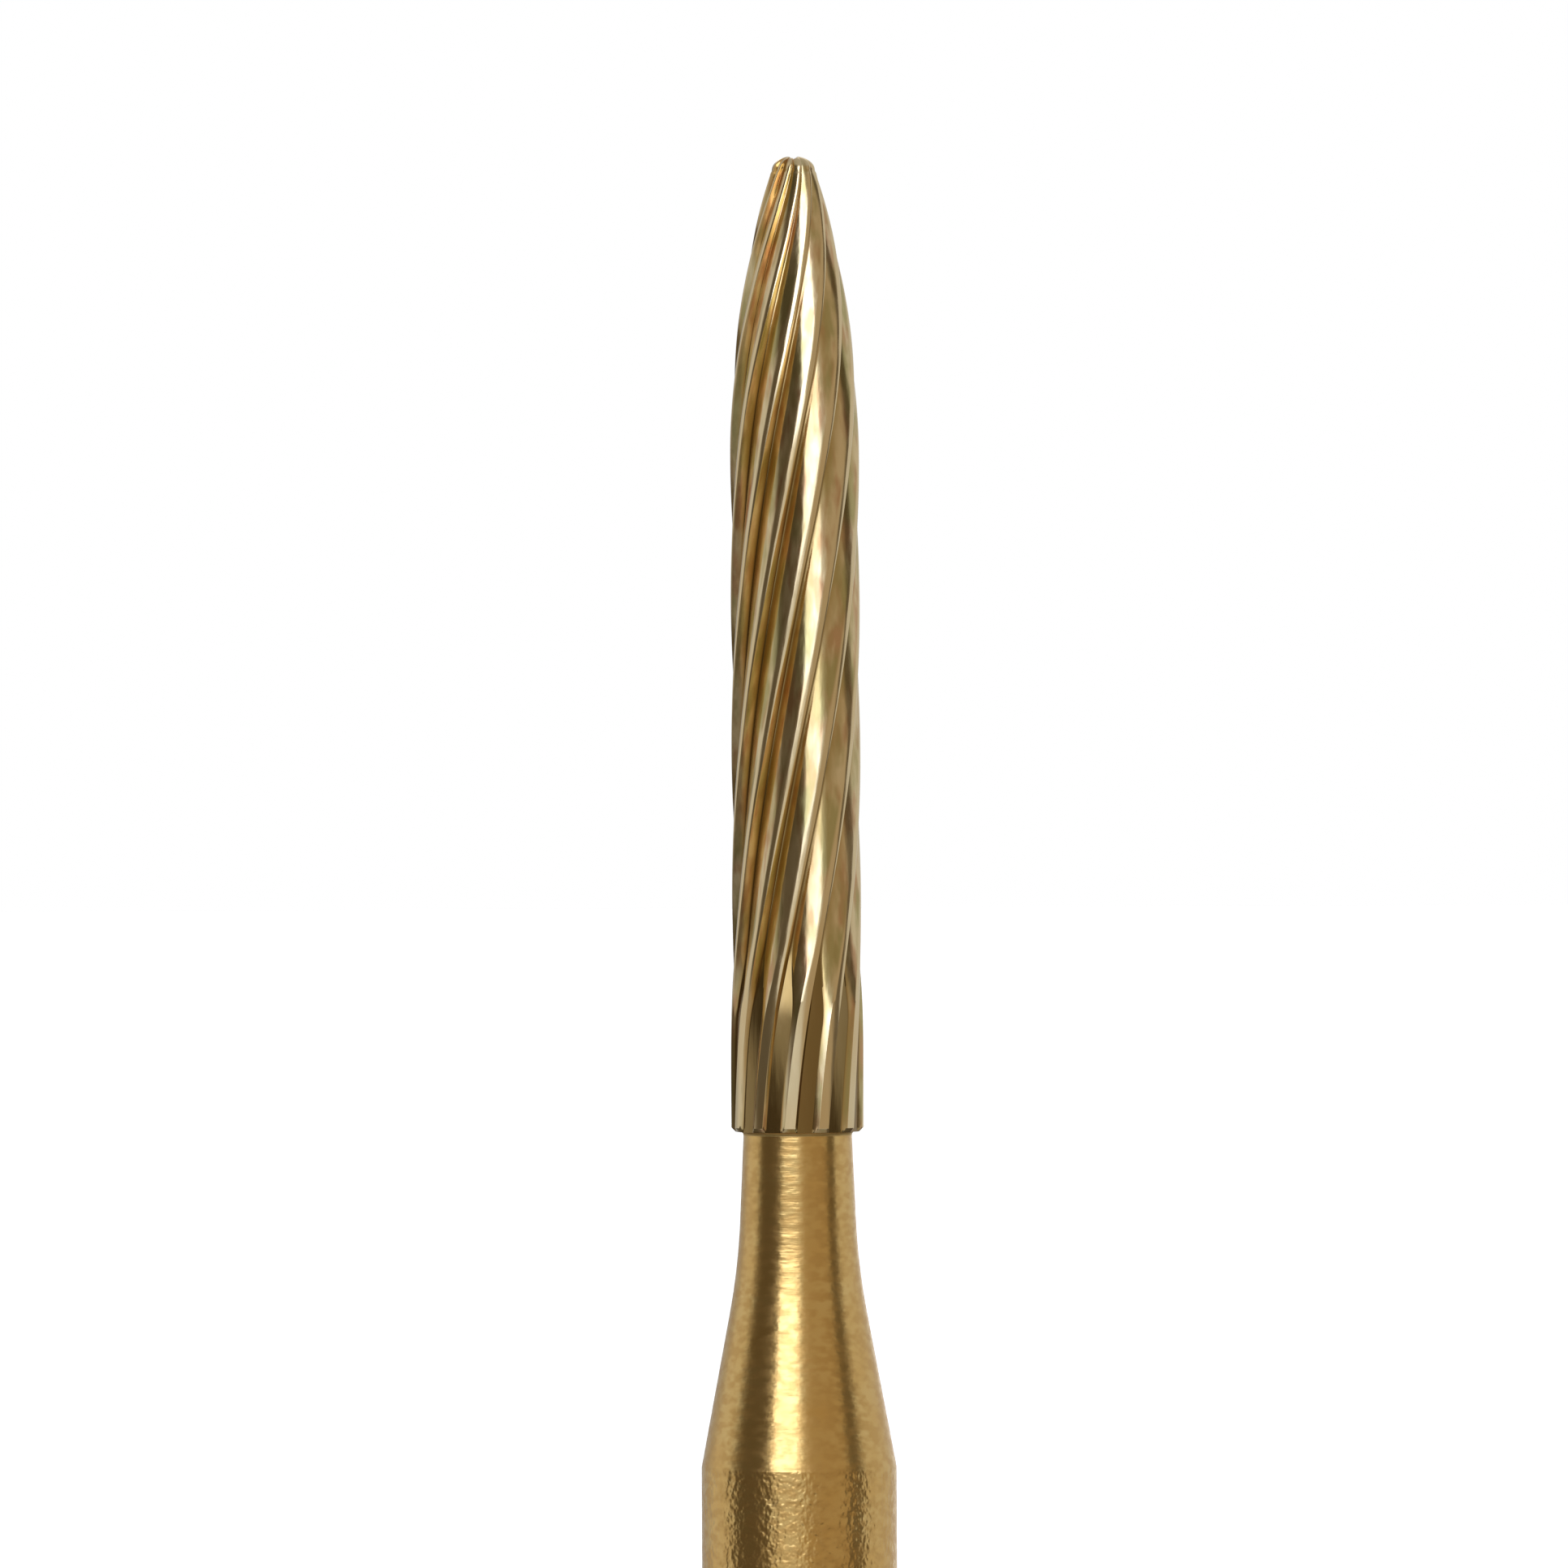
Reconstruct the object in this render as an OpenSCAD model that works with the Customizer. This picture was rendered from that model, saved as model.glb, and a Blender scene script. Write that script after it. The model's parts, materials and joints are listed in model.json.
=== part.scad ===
// Friction-grip carbide finishing bur: a flame-pointed, helically bladed head brazed on a steel shank.
// Millimetres. +Z is the axis, from the shank's rear end face (z = 0) to the tip.

/* [Shank] */
// Overall length, rear end face to tip
overall_l = 22; // [21.5:0.5:26]
// Diameter of the friction-grip cylinder
shank_d = 1.6; // [1.5:0.05:1.75]
// Length of the grip, rear chamfer included
grip_l = 11.25; // [9:0.25:11.5]
// Chamfer on the rear end
rear_chamfer = 0.15; // [0.05:0.05:0.3]

/* [Neck] */
// Diameter of the neck where it meets the head
neck_d = 0.89; // [0.8:0.01:1]
// Half-angle of the slim part of the neck
neck_angle = 2.5; // [1:0.5:4]
// Half-angle of the cone that runs out to the shank
cone_angle = 10.6; // [9:0.2:14]
// Radius that blends the neck into the cone
blend_r = 5.5; // [2:0.5:6]

/* [Head form] */
// Length of the cutter head
head_l = 8; // [6:0.25:8.5]
// Diameter over the blades behind the point
body_d = 1.06; // [1:0.01:1.09]
// Diameter over the blades at the back of the head
back_d = 1.09; // [1.06:0.01:1.35]
// Length of the flame point
point_l = 2.44; // [2:0.02:2.7]
// Radius of the arc that draws the flame point
point_r = 8; // [7:0.25:12]
// Diameter of the blunt nose
nose_d = 0.36; // [0.3:0.02:0.4]
// Height of the nose dome
nose_h = 0.12; // [0.08:0.01:0.16]
// Bevel round the back of the head
back_bevel = 0.035; // [0.02:0.005:0.06]

/* [Blades] */
// Number of blades
blades = 12; // [8:2:16]
// Helix angle along the body
helix_angle = 12.9; // [5:0.1:16]
// Depth of the flutes along the body
flute_depth = 0.092; // [0.05:0.002:0.1]
// Depth of the flutes at the back of the head
back_flute_depth = 0.036; // [0.03:0.002:0.1]
// Depth of the flutes at the tip, as a share of their depth along the body
point_depth = 0.5; // [0.2:0.05:0.6]
// Greatest depth of the flutes, as a share of the radius over the blades
depth_cap = 0.2; // [0.18:0.01:0.24]
// Share of the helix that is left where the blades run out at the back
run_out = 0.4; // [0.2:0.1:1]
// Turn of the first blade about the axis at the tip
first_blade = 29.5; // [0:0.5:30]

/* [Brazed joint] */
// Diameter of the stub on the head's back face
stub_d = 0.45; // [0.35:0.05:0.55]
// Length of the stub
stub_l = 0.8; // [0.5:0.1:1.2]
// Thickness of the braze
braze_gap = 0.025; // [0.02:0.005:0.04]
// Size of the braze fillet outside the joint
braze_fillet = 0.03; // [0.026:0.002:0.05]

/* [Hidden] */
$fn = 96;

carbide_gold = [0.78, 0.64, 0.34];
shank_gold = [0.72, 0.54, 0.26];
braze_gold = [0.62, 0.48, 0.22];

// Levels up the axis
back_z = overall_l - head_l;
neck_top_z = back_z - braze_gap;
fillet_z = back_z - braze_fillet;
stub_end_z = back_z - stub_l;
socket_end_z = stub_end_z - braze_gap;

// Radii about the axis
shank_r = shank_d / 2;
neck_r = neck_d / 2;
stub_r = stub_d / 2;
socket_r = stub_r + braze_gap;

// Length by which the socket's cutter runs out of the neck's top
cutter_run_out = 0.2;

// Radius of the slim neck at a level
function neck_at(z) = neck_r + tan(neck_angle) * (neck_top_z - z);

// The corner where the neck's line and the cone's line cross, and the arc that blends them
corner_z = (shank_r - neck_r + tan(cone_angle) * grip_l - tan(neck_angle) * neck_top_z)
           / (tan(cone_angle) - tan(neck_angle));
tangent_l = blend_r * tan((cone_angle - neck_angle) / 2);
arc_centre = [neck_at(corner_z) - tangent_l * sin(neck_angle) + blend_r * cos(neck_angle),
              corner_z + tangent_l * cos(neck_angle) + blend_r * sin(neck_angle)];
arc_steps = 10;

function blend_point(a) = arc_centre - blend_r * [cos(a), sin(a)];

shank_outline = concat(
    [[0, 0], [shank_r - rear_chamfer, 0], [shank_r, rear_chamfer], [shank_r, grip_l]],
    [for (i = [arc_steps:-1:0]) blend_point(neck_angle + (cone_angle - neck_angle) * i / arc_steps)],
    [[neck_r, neck_top_z], [0, neck_top_z]]);

// The braze: sleeve and floor of the socket, film between the faces, hollow fillet outside
fillet_steps = 6;
fillet_r = neck_at(fillet_z) + braze_fillet;

function fillet_point(a) = [fillet_r - braze_fillet * cos(a), fillet_z + braze_fillet * sin(a)];

braze_outline = concat(
    [[0, socket_end_z], [socket_r, socket_end_z], [socket_r, neck_top_z], [neck_r, neck_top_z]],
    [for (i = [0:fillet_steps]) fillet_point(90 * i / fillet_steps)],
    [[stub_r, back_z], [stub_r, stub_end_z], [0, stub_end_z]]);

// Head form: radius over the blades at a distance s from the tip
swell_start = 0.78 * head_l;
swell_l = 0.14 * head_l;

function smooth(t) = let (c = min(1, max(0, t))) c * c * (3 - 2 * c);
function point_form(s) = body_d / 2 - point_r + sqrt(pow(point_r, 2) - pow(point_l - s, 2));
function nose_form(s) = nose_d / 2 * sqrt(1 - pow(1 - s / nose_h, 2));
function body_form(s) = body_d / 2 + (back_d - body_d) / 2 * smooth((s - swell_start) / swell_l);
function back_form(s) = back_d / 2 - back_bevel + head_l - s;
function head_r(s) = s < nose_h ? min(nose_form(s), point_form(s))
                   : s < point_l ? point_form(s)
                   : min(body_form(s), back_form(s));

// Rings of the head, by distance from the tip: closest at the point, where the blades turn fastest
nose_rings = 5;
blade_rings = 40;
crowding = 1.3;
blades_l = head_l - back_bevel - nose_h;
ring_s = concat(
    [for (i = [1:nose_rings]) nose_h * (1 - cos(90 * i / nose_rings))],
    [for (i = [1:blade_rings]) nose_h + blades_l * pow(i / blade_rings, crowding)],
    [head_l]);
rings = len(ring_s);

// The helix keeps its angle, so it turns faster where the head is thin, and it eases off at the back
function turn_rate(s) = tan(helix_angle) / max(head_r(s), nose_d / 2) * 180 / PI
                        * (1 - (1 - run_out) * smooth((s - swell_start) / (head_l - swell_start)));
function turn_step(i) = i + 1 < rings
    ? (ring_s[i + 1] - ring_s[i]) * turn_rate((ring_s[i + 1] + ring_s[i]) / 2)
    : 0;
ring_turn = [for (i = 0, a = 0; i < rings; a = a + turn_step(i), i = i + 1) a];

// Near the back the flutes grow shallower and their backs steeper: 0 along the body, 1 at the back
ease_start = 0.8 * head_l;
ease_l = 0.09 * head_l;
function easing(s) = smooth((s - ease_start) / ease_l);
function along(ends, s) = ends[0] + (ends[1] - ends[0]) * easing(s);
function depth(s) = min(depth_cap * head_r(s), along([flute_depth, back_flute_depth], s)
                                              * (point_depth + (1 - point_depth) * smooth(s / point_l)));

// Where a blade's land and its back end, in shares of its pitch from the cutting edge: [body, back]
land_ends = [0.18, 0.3];
back_ends = [0.88, 0.47];
rake_foot = 0.93;
land_drop = 0.07;
function land_end(s) = along(land_ends, s);
function back_end(s) = along(back_ends, s);

// One blade backwards from its cutting edge: [share of the blade's pitch, share of the flute's depth]
function blade_form(s) = [
    [0, 0],
    [land_end(s), land_drop],
    [(land_end(s) + back_end(s)) / 2, (land_drop + 1) / 2],
    [back_end(s), 1],
    [rake_foot, 1],
    [(rake_foot + 1) / 2, 1 / 2]];
ring_points = blades * len(blade_form(0));

function blade_r(s, share) = min(head_r(s) - depth(s) * share,
                                 s > head_l - back_bevel ? back_form(s) : head_r(s));
function ring(k) = [for (b = [0:blades - 1], p = blade_form(ring_s[k]))
    let (a = -90 + first_blade - ring_turn[k] - 360 / blades * (b + p[0]), r = blade_r(ring_s[k], p[1]))
    [r * cos(a), r * sin(a), overall_l - ring_s[k]]];

head_points = concat([[0, 0, overall_l]], [for (k = [0:rings - 1]) each ring(k)], [[0, 0, back_z]]);
last_point = len(head_points) - 1;

// Number of a point: ring k, place j round it
function at(k, j) = 1 + k * ring_points + j % ring_points;

head_faces = concat(
    [for (j = [0:ring_points - 1]) [0, at(0, j), at(0, j + 1)]],
    [for (k = [0:rings - 2], j = [0:ring_points - 1]) each
        [[at(k, j), at(k + 1, j), at(k + 1, j + 1)], [at(k, j), at(k + 1, j + 1), at(k, j + 1)]]],
    [for (j = [0:ring_points - 1]) [last_point, at(rings - 1, j + 1), at(rings - 1, j)]]);

// Carbide head: bladed form with a plain stub that locates it in the shank
module cutter_head() {
    color(carbide_gold) {
        polyhedron(points = head_points, faces = head_faces, convexity = 6);
        translate([0, 0, stub_end_z]) cylinder(h = stub_l, r = stub_r);
    }
}

// Braze that fills the gap between stub and socket and shows as a thin fillet under the head
module braze_joint() {
    color(braze_gold) rotate_extrude() polygon(braze_outline);
}

// Steel shank: friction-grip cylinder, cone and neck, with a blind socket for the stub
module shank() {
    color(shank_gold) difference() {
        rotate_extrude() polygon(shank_outline);
        translate([0, 0, socket_end_z])
            cylinder(h = neck_top_z - socket_end_z + cutter_run_out, r = socket_r);
    }
}

cutter_head();
braze_joint();
shank();
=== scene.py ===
"""Carbide finishing bur: the looks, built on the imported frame. Shapes are worked out in millimetres."""

import json
import math

import bpy
from mathutils import Matrix, Vector


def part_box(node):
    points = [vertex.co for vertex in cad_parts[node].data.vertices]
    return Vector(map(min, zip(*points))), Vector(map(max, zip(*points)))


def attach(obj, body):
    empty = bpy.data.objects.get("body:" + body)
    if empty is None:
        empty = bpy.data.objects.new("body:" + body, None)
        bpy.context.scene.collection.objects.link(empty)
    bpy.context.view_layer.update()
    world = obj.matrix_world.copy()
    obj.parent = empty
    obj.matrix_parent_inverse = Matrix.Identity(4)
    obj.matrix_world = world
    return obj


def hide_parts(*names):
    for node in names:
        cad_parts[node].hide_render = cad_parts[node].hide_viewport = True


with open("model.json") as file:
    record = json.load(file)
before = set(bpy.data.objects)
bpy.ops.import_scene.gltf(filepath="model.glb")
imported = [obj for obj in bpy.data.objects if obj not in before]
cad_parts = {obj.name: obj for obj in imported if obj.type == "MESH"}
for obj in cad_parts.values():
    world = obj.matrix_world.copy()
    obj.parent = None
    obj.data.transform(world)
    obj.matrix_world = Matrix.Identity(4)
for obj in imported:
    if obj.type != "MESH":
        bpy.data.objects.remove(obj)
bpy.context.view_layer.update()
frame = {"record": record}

MM = 0.001
DEG = math.pi / 180
FRONT = -90 * DEG
ROUNDING = 1e-6


def z_range(node):
    """Lowest and highest level of a CAD node."""
    lo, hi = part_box(node)
    return lo[2] / MM, hi[2] / MM


# ---------------------------------------------------------------- sizes from the frame, in millimetres
grip_mount = next(m for m in frame["record"]["mounts"] if m["name"] == "shank")
SHANK_R = grip_mount["dims"]["r_mm"]
GRIP_MID = grip_mount["pos_m"][2] / MM
GRIP_HALF = grip_mount["dims"]["length_mm"] / 2
REAR_CHAMFER = GRIP_MID - GRIP_HALF
GRIP_TOP = GRIP_MID + GRIP_HALF
STUB_END_Z, TIP_Z = z_range("cutter_head")
SOCKET_END_Z, BACK_Z = z_range("braze_joint")
NECK_TOP_Z = z_range("shank")[1]
BRAZE_GAP = BACK_Z - NECK_TOP_Z
HEAD_L = TIP_Z - BACK_Z

# ---------------------------------------------------------------- form of the neck
NECK_R = 0.445
NECK_ANGLE = 2.5 * DEG
CONE_ANGLE = 10.6 * DEG
BLEND_R = 5.5
STUB_R = 0.225
SOCKET_R = STUB_R + BRAZE_GAP
BRAZE_FILLET = 0.03
BLEND_STEPS = 24
FILLET_STEPS = 8
TURNED_STEPS = 160
TURNED_SHARP = 8 * DEG

# ---------------------------------------------------------------- form of the head
BODY_R = 0.53
BACK_R = 0.545
POINT_L = 2.44
POINT_R = 8.0
NOSE_R = 0.18
NOSE_H = 0.12
NOSE_STEPS = 14
BODY_STEPS = 330
NOTCH_DEPTH = 0.022
NOTCH_HALF = 0.045
NOTCH_REACH = 0.06
BACK_BEVEL = 0.035
BLADES = 12
PITCH = 2 * math.pi / BLADES
HELIX = 12.9 * DEG
RUN_OUT = 0.4
FLUTE_DEPTH = 0.092
POINT_DEPTH = 0.5
DEPTH_CAP = 0.2
FIRST_BLADE = 29.5 * DEG
BLADE_SHARP = 28 * DEG
SWELL_START = 0.78 * HEAD_L
SWELL_L = 0.14 * HEAD_L


def smooth(t):
    """0 up to t = 0, 1 from t = 1 on, and smooth between."""
    t = min(1.0, max(0.0, t))
    return t * t * (3 - 2 * t)


def head_r(s):
    """Radius over the blades, s from the tip."""
    if s < POINT_L:
        return BODY_R - POINT_R + math.sqrt(POINT_R**2 - (POINT_L - s) ** 2)
    return BODY_R + (BACK_R - BODY_R) * smooth((s - SWELL_START) / SWELL_L)


def turn_rate(s):
    """Turn of the blades per millimetre of the axis: a constant helix angle that eases off at the back."""
    ease = 1 - (1 - RUN_OUT) * smooth((s - SWELL_START) / (HEAD_L - SWELL_START))
    return math.tan(HELIX) / max(head_r(s), NOSE_R) * ease


# One blade backwards from its cutting edge: narrow land, flat back, floor, rake face. Places are shares of
# its pitch, drops are shares of the flute's depth, and AT_BACK values hold at the back of the head.
LAND = 0.18
LAND_AT_BACK = 0.3
LAND_DROP = 0.07
LAND_CURVE = 1.5
FOOT = 0.88
FOOT_AT_BACK = 0.47
FOOT_ROUND = 0.025
EDGE_ROUND = 0.04
RAKE = 0.93
RAKE_FACE = [(RAKE, 0.98), ((RAKE + 1) / 2, 0.56), (0.99, 0.14)]
LAND_STEPS = 4
BACK_STEPS = 8
DEPTH_AT_BACK = 0.036
EASE_START = 0.8 * HEAD_L
EASE_L = 0.09 * HEAD_L


def easing(s):
    """0 along the body and 1 at the back, where the flutes are shallower and their backs steeper."""
    return smooth((s - EASE_START) / EASE_L)


def full_depth(s):
    """Depth of the flutes before they thin out towards the tip."""
    return FLUTE_DEPTH + (DEPTH_AT_BACK - FLUTE_DEPTH) * easing(s)


def flute_depth(s, r):
    """Depth of the flutes: thinner towards the tip, and never more than a share of the radius."""
    return min(DEPTH_CAP * r, full_depth(s) * (POINT_DEPTH + (1 - POINT_DEPTH) * smooth(s / POINT_L)))


def blade_profile(s):
    """Points of one blade as (share of the pitch, share of the flute's depth)."""
    k = easing(s)
    land = LAND + (LAND_AT_BACK - LAND) * k
    foot = FOOT + (FOOT_AT_BACK - FOOT) * k
    points = [(0.0, EDGE_ROUND)]
    for i in range(1, LAND_STEPS + 1):
        t = i / LAND_STEPS
        points.append((land * t, LAND_DROP * t**LAND_CURVE))
    for i in range(1, BACK_STEPS + 1):
        t = i / BACK_STEPS
        points.append((land + (foot - land) * t, LAND_DROP + (1 - LAND_DROP) * t))
    return points + [(foot + FOOT_ROUND, 1.0)] + RAKE_FACE


def mesh_object(name, points, faces):
    mesh = bpy.data.meshes.new(name)
    mesh.from_pydata([Vector(p) * MM for p in points], [], faces)
    mesh.update()
    mesh.shade_smooth()
    obj = bpy.data.objects.new(name, mesh)
    bpy.context.scene.collection.objects.link(obj)
    return obj


def closed_stack(name, rings, first, last):
    """A closed skin over rings of equal count, with a point at each end.

    Faces point out where the rings run anticlockwise, seen from the last point's end.
    """
    n = len(rings[0])
    points = [first] + [p for r in rings for p in r] + [last]
    end = len(points) - 1

    def at(k, j):
        return 1 + k * n + j % n

    faces = [(0, at(0, j + 1), at(0, j)) for j in range(n)]
    for k in range(len(rings) - 1):
        faces += [(at(k, j), at(k, j + 1), at(k + 1, j + 1), at(k + 1, j)) for j in range(n)]
    faces += [(end, at(len(rings) - 1, j), at(len(rings) - 1, j + 1)) for j in range(n)]
    return mesh_object(name, points, faces)


def head_levels():
    """Distance from the tip and greatest radius of each ring."""
    levels = []
    for i in range(1, NOSE_STEPS + 1):
        r = NOSE_R * math.sin(90 * DEG * i / NOSE_STEPS)
        dome = NOSE_H * (1 - math.sqrt(max(0.0, 1 - (r / NOSE_R) ** 2)))
        levels.append((dome, min(r, head_r(dome))))
    for i in range(1, BODY_STEPS + 1):
        s = NOSE_H + (HEAD_L - BACK_BEVEL - NOSE_H) * i / BODY_STEPS
        levels.append((s, head_r(s)))
    levels.append((HEAD_L - BACK_BEVEL / 2, BACK_R - BACK_BEVEL / 2))
    levels.append((HEAD_L, BACK_R - BACK_BEVEL))
    return levels


def tip_notch(x, r):
    """Drop of the tip where two opposite flutes meet across it."""
    return NOTCH_DEPTH * (1 - smooth(abs(x) / NOTCH_HALF)) * (1 - smooth((r - NOTCH_HALF) / NOTCH_REACH))


def blade_points(s, turn):
    """Angle about the axis and share of the flute's depth of every point round a ring."""
    start = FRONT + FIRST_BLADE - turn
    return [(start - PITCH * (b + u), share) for b in range(BLADES) for u, share in blade_profile(s)]


def blade_ring(s, r, turn):
    """One ring of the head. On the bevel the flutes keep their floor and only the blades are cut back."""
    depth = flute_depth(s, r)
    full = r if s < HEAD_L - BACK_BEVEL + ROUNDING else BACK_R
    ring = []
    for a, share in blade_points(s, turn):
        q = min(full - depth * share, r)
        x, y = q * math.cos(a), q * math.sin(a)
        ring.append((x, y, TIP_Z - s - tip_notch(x, q)))
    return ring


def head_rings():
    rings = []
    turn, before = 0.0, 0.0
    for s, r in head_levels():
        turn += (s - before) * turn_rate((s + before) / 2)
        before = s
        rings.append(blade_ring(s, r, turn))
    return rings, turn


def nose_r(s):
    """Radius of the nose dome, s from the tip."""
    return NOSE_R * math.sqrt(1 - (1 - min(1.0, s / NOSE_H)) ** 2)


def mark_depths(obj):
    """Stores how deep each point lies, 0 at the cutting edges and 1 on the floor of a full flute."""
    marks = obj.data.attributes.new("flute_depth", "FLOAT", "POINT")
    for vertex, mark in zip(obj.data.vertices, marks.data):
        x, y, z = vertex.co / MM
        s = max(0.0, TIP_Z - z)
        full = min(head_r(s), nose_r(s)) if s < NOSE_H else head_r(s)
        mark.value = max(0.0, full - math.hypot(x, y)) / full_depth(s)


def build_head():
    rings, turn = head_rings()
    angles = [a for a, share in blade_points(HEAD_L, turn)]
    for z in (BACK_Z, STUB_END_Z):
        rings.append([(STUB_R * math.cos(a), STUB_R * math.sin(a), z) for a in angles])
    obj = closed_stack("bladed_head", rings, (0, 0, TIP_Z - NOTCH_DEPTH), (0, 0, STUB_END_Z))
    obj.data.set_sharp_from_angle(angle=BLADE_SHARP)
    mark_depths(obj)
    return obj


def circle(r, z, steps):
    return [(r * math.cos(2 * math.pi * j / steps), r * math.sin(2 * math.pi * j / steps), z)
            for j in range(steps)]


def lathe(name, outline):
    """A closed turned piece: the outline's (radius, level) points, between two points on the axis."""
    rings = [circle(r, z, TURNED_STEPS) for r, z in outline[1:-1]]
    obj = closed_stack(name, rings, (0, 0, outline[0][1]), (0, 0, outline[-1][1]))
    obj.data.set_sharp_from_angle(angle=TURNED_SHARP)
    return obj


def neck_at(z):
    """Radius of the slim neck at a level."""
    return NECK_R + math.tan(NECK_ANGLE) * (NECK_TOP_Z - z)


def shank_outline():
    """Rear face, chamfer, grip, cone, blend, neck and socket. The blend touches the neck and the cone."""
    t1, t2 = math.tan(NECK_ANGLE), math.tan(CONE_ANGLE)
    corner_z = (SHANK_R - NECK_R + t2 * GRIP_TOP - t1 * NECK_TOP_Z) / (t2 - t1)
    tangent = BLEND_R * math.tan((CONE_ANGLE - NECK_ANGLE) / 2)
    cx = neck_at(corner_z) - tangent * math.sin(NECK_ANGLE) + BLEND_R * math.cos(NECK_ANGLE)
    cz = corner_z + tangent * math.cos(NECK_ANGLE) + BLEND_R * math.sin(NECK_ANGLE)
    points = [(0, 0), (SHANK_R - REAR_CHAMFER, 0), (SHANK_R, REAR_CHAMFER), (SHANK_R, GRIP_TOP)]
    for i in range(BLEND_STEPS + 1):
        a = CONE_ANGLE + (NECK_ANGLE - CONE_ANGLE) * i / BLEND_STEPS
        points.append((cx - BLEND_R * math.cos(a), cz - BLEND_R * math.sin(a)))
    points += [(NECK_R, NECK_TOP_Z), (SOCKET_R, NECK_TOP_Z), (SOCKET_R, SOCKET_END_Z), (0, SOCKET_END_Z)]
    return points


def build_shank():
    return lathe("turned_shank", shank_outline())


def build_braze():
    """Sleeve and floor of the socket, film between the faces and the hollow fillet outside."""
    low = BACK_Z - BRAZE_FILLET
    r = neck_at(low) + BRAZE_FILLET
    angles = [90 * DEG * i / FILLET_STEPS for i in range(FILLET_STEPS + 1)]
    fillet = [(r - BRAZE_FILLET * math.cos(a), low + BRAZE_FILLET * math.sin(a)) for a in angles]
    outline = [(0, SOCKET_END_Z), (SOCKET_R, SOCKET_END_Z), (SOCKET_R, NECK_TOP_Z), (NECK_R, NECK_TOP_Z)]
    outline += fillet + [(STUB_R, BACK_Z), (STUB_R, STUB_END_Z), (0, STUB_END_Z)]
    return lathe("braze_fillet", outline)


# ---------------------------------------------------------------- nodes
def math_node(tree, operation, a, b=None):
    node = tree.nodes.new("ShaderNodeMath")
    node.operation = operation
    for socket, value in zip(node.inputs, (a, b)):
        if value is None:
            continue
        if isinstance(value, (int, float)):
            socket.default_value = value
        else:
            tree.links.new(value, socket)
    return node.outputs[0]


def soft_step(tree, value, start, end):
    """0 at start, 1 at end and smooth between. A start above the end makes a falling step."""
    node = tree.nodes.new("ShaderNodeMapRange")
    node.interpolation_type = "SMOOTHSTEP"
    flip = start > end
    node.inputs["From Min"].default_value = min(start, end)
    node.inputs["From Max"].default_value = max(start, end)
    node.inputs["To Min"].default_value = 1.0 if flip else 0.0
    node.inputs["To Max"].default_value = 0.0 if flip else 1.0
    tree.links.new(value, node.inputs["Value"])
    return node.outputs["Result"]


def mix_in(tree, below, color, mask):
    """The color laid over what is below, where the mask is 1."""
    node = tree.nodes.new("ShaderNodeMix")
    node.data_type = "RGBA"
    tree.links.new(mask, node.inputs[0])
    for socket, value in ((node.inputs[6], below), (node.inputs[7], color)):
        if isinstance(value, tuple):
            socket.default_value = (*value, 1)
        else:
            tree.links.new(value, socket)
    return node.outputs[2]


# ---------------------------------------------------------------- materials
# Base colors of the coats
SHANK_DEEP = (0.86, 0.53, 0.17)
SHANK_PALE = (0.92, 0.63, 0.24)
SHANK_DULL = (0.80, 0.49, 0.16)
HEAD_DEEP = (0.92, 0.69, 0.37)
HEAD_PALE = (0.95, 0.76, 0.45)
HEAD_ROSY = (0.66, 0.36, 0.17)
HEAD_OLIVE = (0.52, 0.44, 0.17)
# Painted shade, brown down the flutes and dark in the gullets
FLUTE_SHADE_BROWN = (0.60, 0.40, 0.15)
GULLET_SHADE_DARK = (0.24, 0.15, 0.05)
BRAZE_DEEP = (0.78, 0.54, 0.20)
BRAZE_PALE = (0.88, 0.64, 0.28)

# Roughness of each coat, from its smooth places to its rough ones
SHANK_ROUGHNESS = (0.17, 0.27)
HEAD_ROUGHNESS = (0.09, 0.2)
BRAZE_ROUGHNESS = (0.45, 0.6)

# Noise levels between which one look changes into another
EVENLY = (0.3, 0.7)
IN_GRAINS = (0.38, 0.62)
IN_ROSY_PATCHES = (0.46, 0.62)
IN_OLIVE_PATCHES = (0.44, 0.62)
TARNISH = 0.8

# Shares of the flutes' depth between which one color changes into another, the last two into painted shade
OFF_LANDS = (0.07, 0.2)
SHADE_DOWN_FLUTES = (0.3, 1.2)
SHADE_IN_GULLETS = (0.8, 1.1)

# Heights of the bumps, in metres
SHANK_BUMPS = 4.5e-6
HEAD_BUMPS = 1.2e-6
BRAZE_BUMPS = 1.5e-6

# Share of the shank's bumps that pebbles take on the grip and above it, and half the width of the change
PEBBLES_ON_GRIP = 1.6
PEBBLES_ABOVE = 0.2
GRIP_EDGE = 0.02


def grey(level):
    return (level, level, level)


def new_material(name):
    m = bpy.data.materials.new(name)
    m.use_nodes = True
    tree = m.node_tree
    bsdf = tree.nodes["Principled BSDF"]
    bsdf.inputs["Metallic"].default_value = 1.0
    return m, tree, bsdf


def noise(tree, across, along, detail=2.0):
    """Noise with this many cells per metre across the axis and along it."""
    coord = tree.nodes.new("ShaderNodeTexCoord")
    mapping = tree.nodes.new("ShaderNodeMapping")
    mapping.inputs["Scale"].default_value = (across, across, along)
    tree.links.new(coord.outputs["Object"], mapping.inputs["Vector"])
    node = tree.nodes.new("ShaderNodeTexNoise")
    node.inputs["Scale"].default_value = 1.0
    node.inputs["Detail"].default_value = detail
    tree.links.new(mapping.outputs["Vector"], node.inputs["Vector"])
    return node.outputs["Fac"]


def spread(tree, value, low, high, levels=EVENLY):
    """The low color up to the first level, the high color from the second on, and a blend between."""
    node = tree.nodes.new("ShaderNodeValToRGB")
    for element, level, color in zip(node.color_ramp.elements, levels, (low, high)):
        element.position = level
        element.color = (*color, 1)
    tree.links.new(value, node.inputs["Fac"])
    return node.outputs["Color"]


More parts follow.
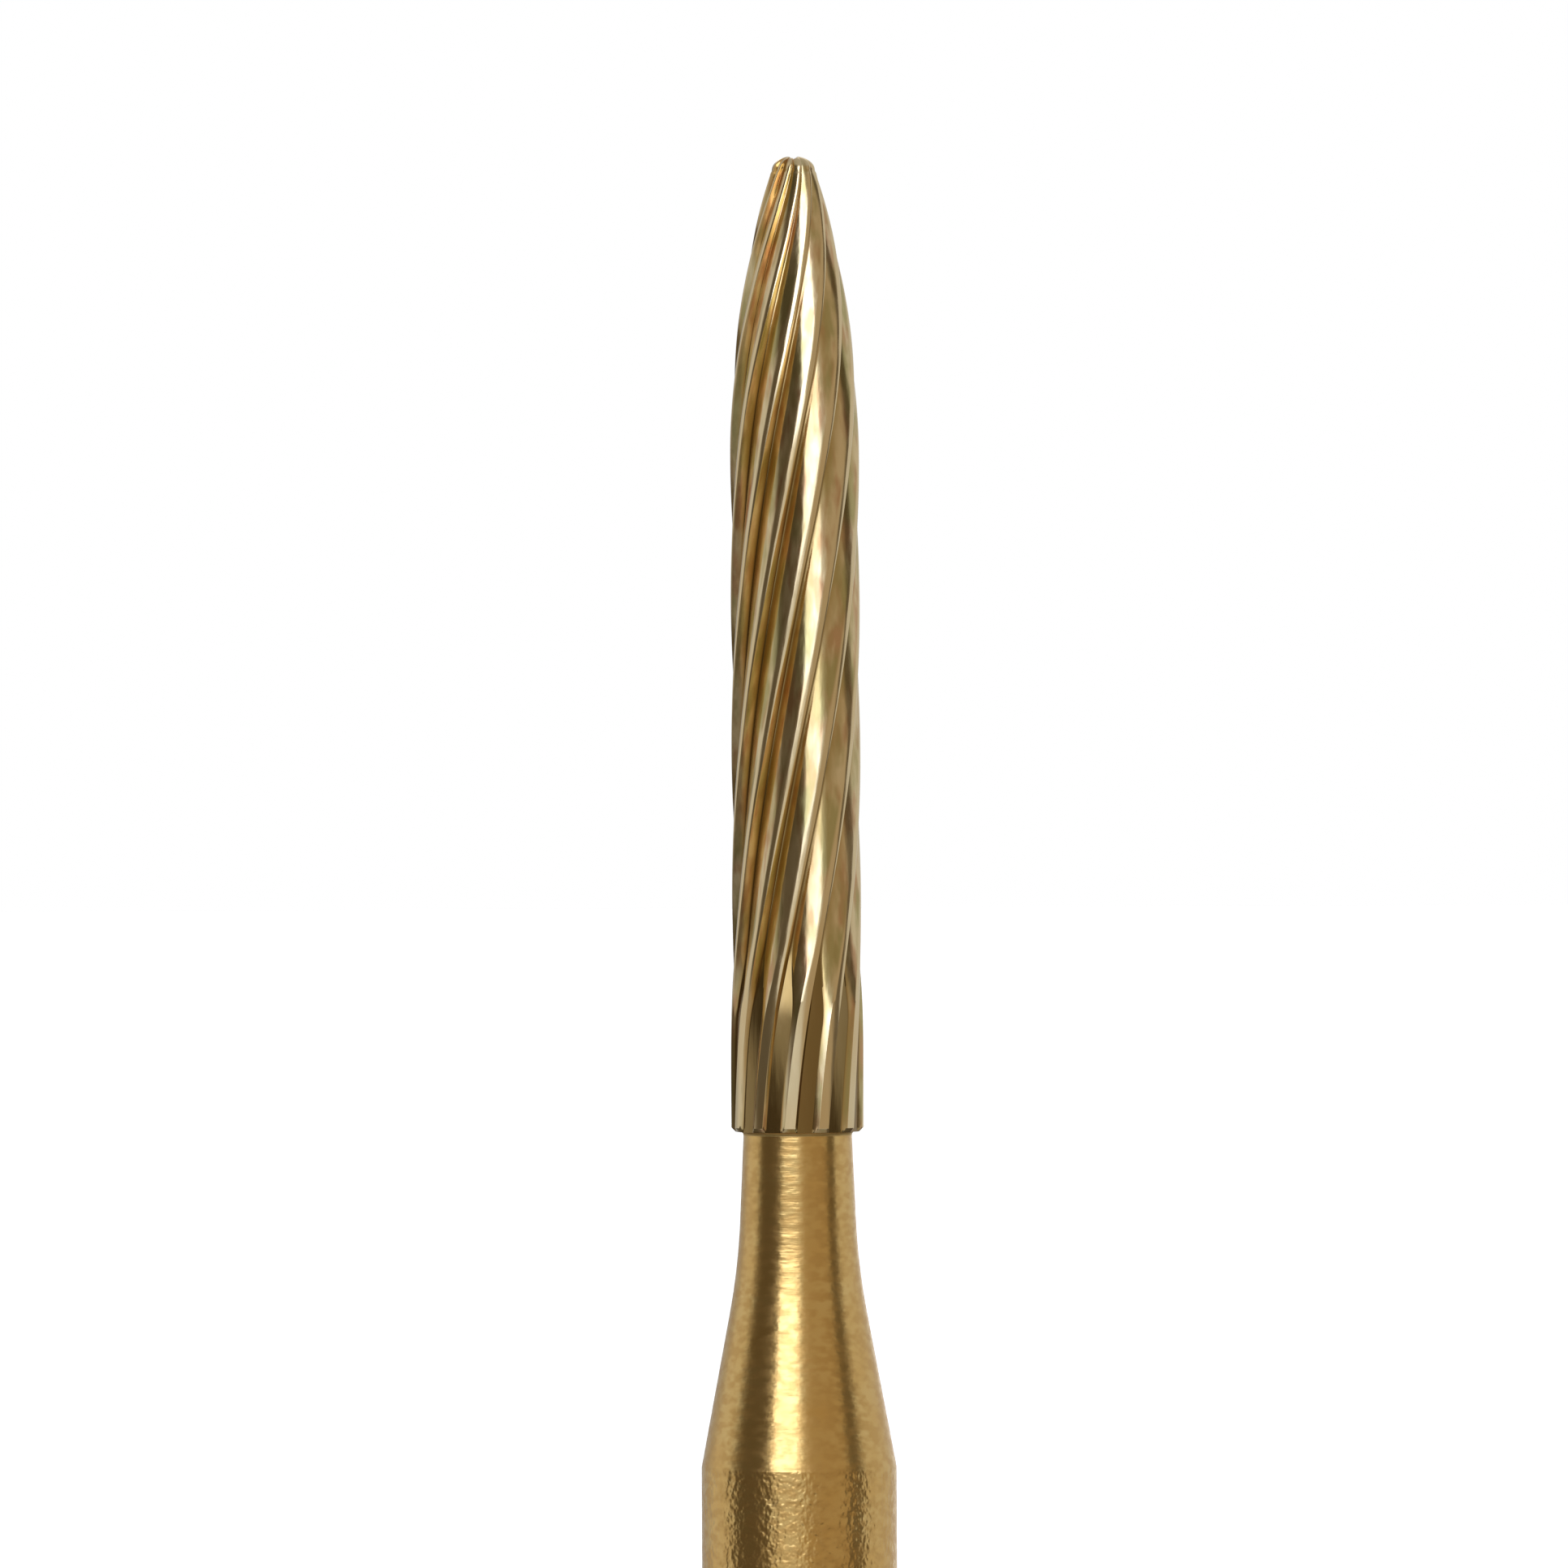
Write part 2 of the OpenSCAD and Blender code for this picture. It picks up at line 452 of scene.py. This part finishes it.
def bump(tree, height, distance):
    node = tree.nodes.new("ShaderNodeBump")
    node.inputs["Distance"].default_value = distance
    node.inputs["Strength"].default_value = 1.0
    tree.links.new(height, node.inputs["Height"])
    return node.outputs["Normal"]


def above_grip(tree):
    """1 on the neck and cone, 0 on the grip."""
    coord = tree.nodes.new("ShaderNodeTexCoord")
    split = tree.nodes.new("ShaderNodeSeparateXYZ")
    tree.links.new(coord.outputs["Object"], split.inputs["Vector"])
    return soft_step(tree, split.outputs["Z"], (GRIP_TOP - GRIP_EDGE) * MM, (GRIP_TOP + GRIP_EDGE) * MM)


def shank_height(tree):
    """Turning marks round the neck and cone, and pebbles that stand highest on the grip."""
    turned = above_grip(tree)
    marks = math_node(tree, "MULTIPLY", noise(tree, across=4000, along=17000), turned)
    lost = math_node(tree, "MULTIPLY", PEBBLES_ON_GRIP - PEBBLES_ABOVE, turned)
    share = math_node(tree, "SUBTRACT", PEBBLES_ON_GRIP, lost)
    pebbles = math_node(tree, "MULTIPLY", noise(tree, across=20000, along=20000, detail=1.0), share)
    return math_node(tree, "ADD", marks, pebbles)


def coated_steel():
    """Gold coat on turned steel: turning marks round the neck, a pebbled grip, grains duller than others."""
    m, tree, bsdf = new_material("coated_steel")
    tint = spread(tree, noise(tree, across=2500, along=2500), SHANK_DEEP, SHANK_PALE)
    dull = spread(tree, noise(tree, across=9000, along=16000, detail=1.0), grey(0), grey(1), IN_GRAINS)
    smooth_part, rough_part = SHANK_ROUGHNESS
    tree.links.new(mix_in(tree, tint, SHANK_DULL, dull), bsdf.inputs["Base Color"])
    tree.links.new(mix_in(tree, grey(smooth_part), grey(rough_part), dull), bsdf.inputs["Roughness"])
    tree.links.new(bump(tree, shank_height(tree), SHANK_BUMPS), bsdf.inputs["Normal"])
    return m


def deeper_than(tree, start, end):
    """0 at one share of the flutes' depth and 1 at another."""
    depth = tree.nodes.new("ShaderNodeAttribute")
    depth.attribute_name = "flute_depth"
    return soft_step(tree, depth.outputs["Fac"], start, end)


def patches(tree, cells, levels):
    """Patches of tarnish off the lands."""
    mask = spread(tree, cells, grey(0), grey(TARNISH), levels)
    return math_node(tree, "MULTIPLY", mask, deeper_than(tree, *OFF_LANDS))


def head_color(tree):
    """Pale gold with rosy and olive tarnish off the lands, and painted shade: brown down the flutes, dark in
    the gullets.
    """
    color = spread(tree, noise(tree, across=3000, along=1500), HEAD_DEEP, HEAD_PALE)
    rosy = patches(tree, noise(tree, across=9000, along=2400), IN_ROSY_PATCHES)
    olive = patches(tree, noise(tree, across=6000, along=1700, detail=3.0), IN_OLIVE_PATCHES)
    color = mix_in(tree, color, HEAD_ROSY, rosy)
    color = mix_in(tree, color, HEAD_OLIVE, olive)
    # painted shade: brown down the flutes, dark in the gullets
    color = mix_in(tree, color, FLUTE_SHADE_BROWN, deeper_than(tree, *SHADE_DOWN_FLUTES))
    return mix_in(tree, color, GULLET_SHADE_DARK, deeper_than(tree, *SHADE_IN_GULLETS))


def roughness(tree, cells, limits):
    return spread(tree, cells, grey(limits[0]), grey(limits[1]))


def coated_carbide():
    """Gold coat on ground carbide: pale gold edges, painted shade that darkens the flutes with depth, faint
    tarnish.
    """
    m, tree, bsdf = new_material("coated_carbide")
    tree.links.new(head_color(tree), bsdf.inputs["Base Color"])
    rough = roughness(tree, noise(tree, across=20000, along=6000), HEAD_ROUGHNESS)
    tree.links.new(rough, bsdf.inputs["Roughness"])
    tree.links.new(bump(tree, noise(tree, across=16000, along=2600), HEAD_BUMPS), bsdf.inputs["Normal"])
    return m


def coated_braze():
    """Gold coat over the braze: a dull, slightly grainy skin."""
    m, tree, bsdf = new_material("coated_braze")
    color = spread(tree, noise(tree, across=9000, along=9000), BRAZE_DEEP, BRAZE_PALE)
    tree.links.new(color, bsdf.inputs["Base Color"])
    rough = roughness(tree, noise(tree, across=16000, along=16000), BRAZE_ROUGHNESS)
    tree.links.new(rough, bsdf.inputs["Roughness"])
    tree.links.new(bump(tree, noise(tree, across=20000, along=20000), BRAZE_BUMPS), bsdf.inputs["Normal"])
    return m


def place(obj, node, material):
    obj.data.materials.append(material)
    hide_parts(node)
    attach(obj, "root")
    return obj


place(build_head(), "cutter_head", coated_carbide())
place(build_braze(), "braze_joint", coated_braze())
place(build_shank(), "shank", coated_steel())

# ---------------------------------------------------------------- studio
# The light comes from the world. Angles are in degrees about the object: azimuth 0 is towards the camera
# and + to its right, elevation 0 is level. A card is laid over the sweep and the cards before it: where it
# stands, half its width, width of its soft edge, brightness and tint.
WARM = (1.0, 0.86, 0.66)
COOL = (1.0, 1.02, 1.05)
KEY_TINT = (0.97, 1.08, 1.35)
SWEEP_DIM = dict(at=88.0, level=0.25, tint=COOL)
SWEEP_BRIGHT = dict(at=180.0, level=0.8, tint=COOL)
CARDS = [
    dict(name="room_in_front", at=0, half=70, soft=30, level=0.15, tint=WARM),
    dict(name="left_flag", at=-62, half=10, soft=20, level=0.1, tint=WARM),
    dict(name="right_flag", at=72, half=5, soft=14, level=0.13, tint=WARM),
    dict(name="fill_card", at=34, half=24, soft=10, level=0.38, tint=WARM),
    dict(name="key_spill", at=-12, half=15, soft=10, level=0.56, tint=COOL),
    dict(name="right_card", at=118, half=30, soft=10, level=0.52, tint=COOL),
    dict(name="left_sweep", at=-150, half=15, soft=14, level=0.4, tint=COOL),
    dict(name="left_card", at=-108, half=12, soft=16, level=0.54, tint=COOL),
]
KEY = dict(at=-17, half=13, soft=7, low=13, low_soft=9, high=45, high_soft=20, level=2.2, tint=KEY_TINT)
CEILING = dict(low=60, low_soft=20, level=0.4, tint=COOL)
TABLE = dict(high=-27, high_soft=14, level=0.09, tint=WARM)
GROUND = dict(high=-65, high_soft=15, level=0.35, tint=COOL)
CAMERA_SEES = (1.0, 1.0, 1.0)


def direction_angles(tree):
    """Azimuth and elevation of a direction in the world, in degrees."""
    coord = tree.nodes.new("ShaderNodeTexCoord")
    split = tree.nodes.new("ShaderNodeSeparateXYZ")
    tree.links.new(coord.outputs["Generated"], split.inputs["Vector"])
    back = math_node(tree, "MULTIPLY", split.outputs["Y"], -1.0)
    azimuth = math_node(tree, "ARCTAN2", split.outputs["X"], back)
    elevation = math_node(tree, "ARCSINE", split.outputs["Z"])
    return (math_node(tree, "MULTIPLY", azimuth, 1 / DEG),
            math_node(tree, "MULTIPLY", elevation, 1 / DEG))


def beside(tree, azimuth, card):
    """1 across a card and 0 beside it."""
    away = math_node(tree, "ABSOLUTE", math_node(tree, "SUBTRACT", azimuth, float(card["at"])))
    return soft_step(tree, away, card["half"] + card["soft"], card["half"])


def above(tree, elevation, part):
    return soft_step(tree, elevation, part["low"] - part["low_soft"], part["low"])


def under(tree, elevation, part):
    return soft_step(tree, elevation, part["high"] + part["high_soft"], part["high"])


def shade(part):
    return tuple(part["level"] * t for t in part["tint"])


def key_mask(tree, azimuth, elevation):
    band = math_node(tree, "MULTIPLY", above(tree, elevation, KEY), under(tree, elevation, KEY))
    return math_node(tree, "MULTIPLY", band, beside(tree, azimuth, KEY))


def studio_light(tree):
    """A sweep, brightest behind the object, then the cards, the key, a ceiling, a table and the ground."""
    azimuth, elevation = direction_angles(tree)
    behind = math_node(tree, "ABSOLUTE", azimuth)
    light = mix_in(tree, shade(SWEEP_DIM), shade(SWEEP_BRIGHT),
                   soft_step(tree, behind, SWEEP_DIM["at"], SWEEP_BRIGHT["at"]))
    for card in CARDS:
        light = mix_in(tree, light, shade(card), beside(tree, azimuth, card))
    light = mix_in(tree, light, shade(KEY), key_mask(tree, azimuth, elevation))
    light = mix_in(tree, light, shade(CEILING), above(tree, elevation, CEILING))
    light = mix_in(tree, light, shade(TABLE), under(tree, elevation, TABLE))
    return mix_in(tree, light, shade(GROUND), under(tree, elevation, GROUND))


def studio_world():
    """The studio's light on the object, and plain white behind it."""
    world = bpy.data.worlds.new("studio")
    bpy.context.scene.world = world
    world.use_nodes = True
    tree = world.node_tree
    tree.nodes.clear()
    to_camera = tree.nodes.new("ShaderNodeLightPath").outputs["Is Camera Ray"]
    light = mix_in(tree, studio_light(tree), CAMERA_SEES, to_camera)
    shine = tree.nodes.new("ShaderNodeBackground")
    tree.links.new(light, shine.inputs["Color"])
    out = tree.nodes.new("ShaderNodeOutputWorld")
    tree.links.new(shine.outputs["Background"], out.inputs["Surface"])


studio_world()

# ---------------------------------------------------------------- floor and camera
FLOOR_RADIUS = 1500
FLOOR_SIDES = 64
FLOOR_COLOR = (0.8, 0.8, 0.8, 1)
FLOOR_GLOW = 0.7
FLOOR_GLOW_COLOR = (1, 1, 1, 1)
CAMERA_AT = (-0.099, -97, 16.85)
CAMERA_ROLL = -0.26 * DEG
CAMERA_SENSOR = 36
CAMERA_LENS = 271.5
CAMERA_CLIP = (0.01, 10)


def build_floor():
    """A pale floor that glows a little and stays out of the reflections."""
    obj = mesh_object("studio_floor", circle(FLOOR_RADIUS, 0, FLOOR_SIDES), [tuple(range(FLOOR_SIDES))])
    m, tree, bsdf = new_material("pale_floor")
    bsdf.inputs["Metallic"].default_value = 0
    bsdf.inputs["Base Color"].default_value = FLOOR_COLOR
    bsdf.inputs["Emission Color"].default_value = FLOOR_GLOW_COLOR
    bsdf.inputs["Emission Strength"].default_value = FLOOR_GLOW
    obj.data.materials.append(m)
    obj.visible_glossy = False


def build_camera():
    """A long lens, level with the head, that looks along +Y."""
    data = bpy.data.cameras.new("camera")
    data.sensor_width = CAMERA_SENSOR
    data.lens = CAMERA_LENS
    data.clip_start, data.clip_end = CAMERA_CLIP
    cam = bpy.data.objects.new("camera", data)
    cam.matrix_world = (Matrix.Translation(Vector(CAMERA_AT) * MM)
                        @ Matrix.Rotation(90 * DEG, 4, "X") @ Matrix.Rotation(CAMERA_ROLL, 4, "Z"))
    bpy.context.scene.collection.objects.link(cam)
    bpy.context.scene.camera = cam


build_floor()
build_camera()
bpy.context.scene.view_settings.view_transform = "Standard"
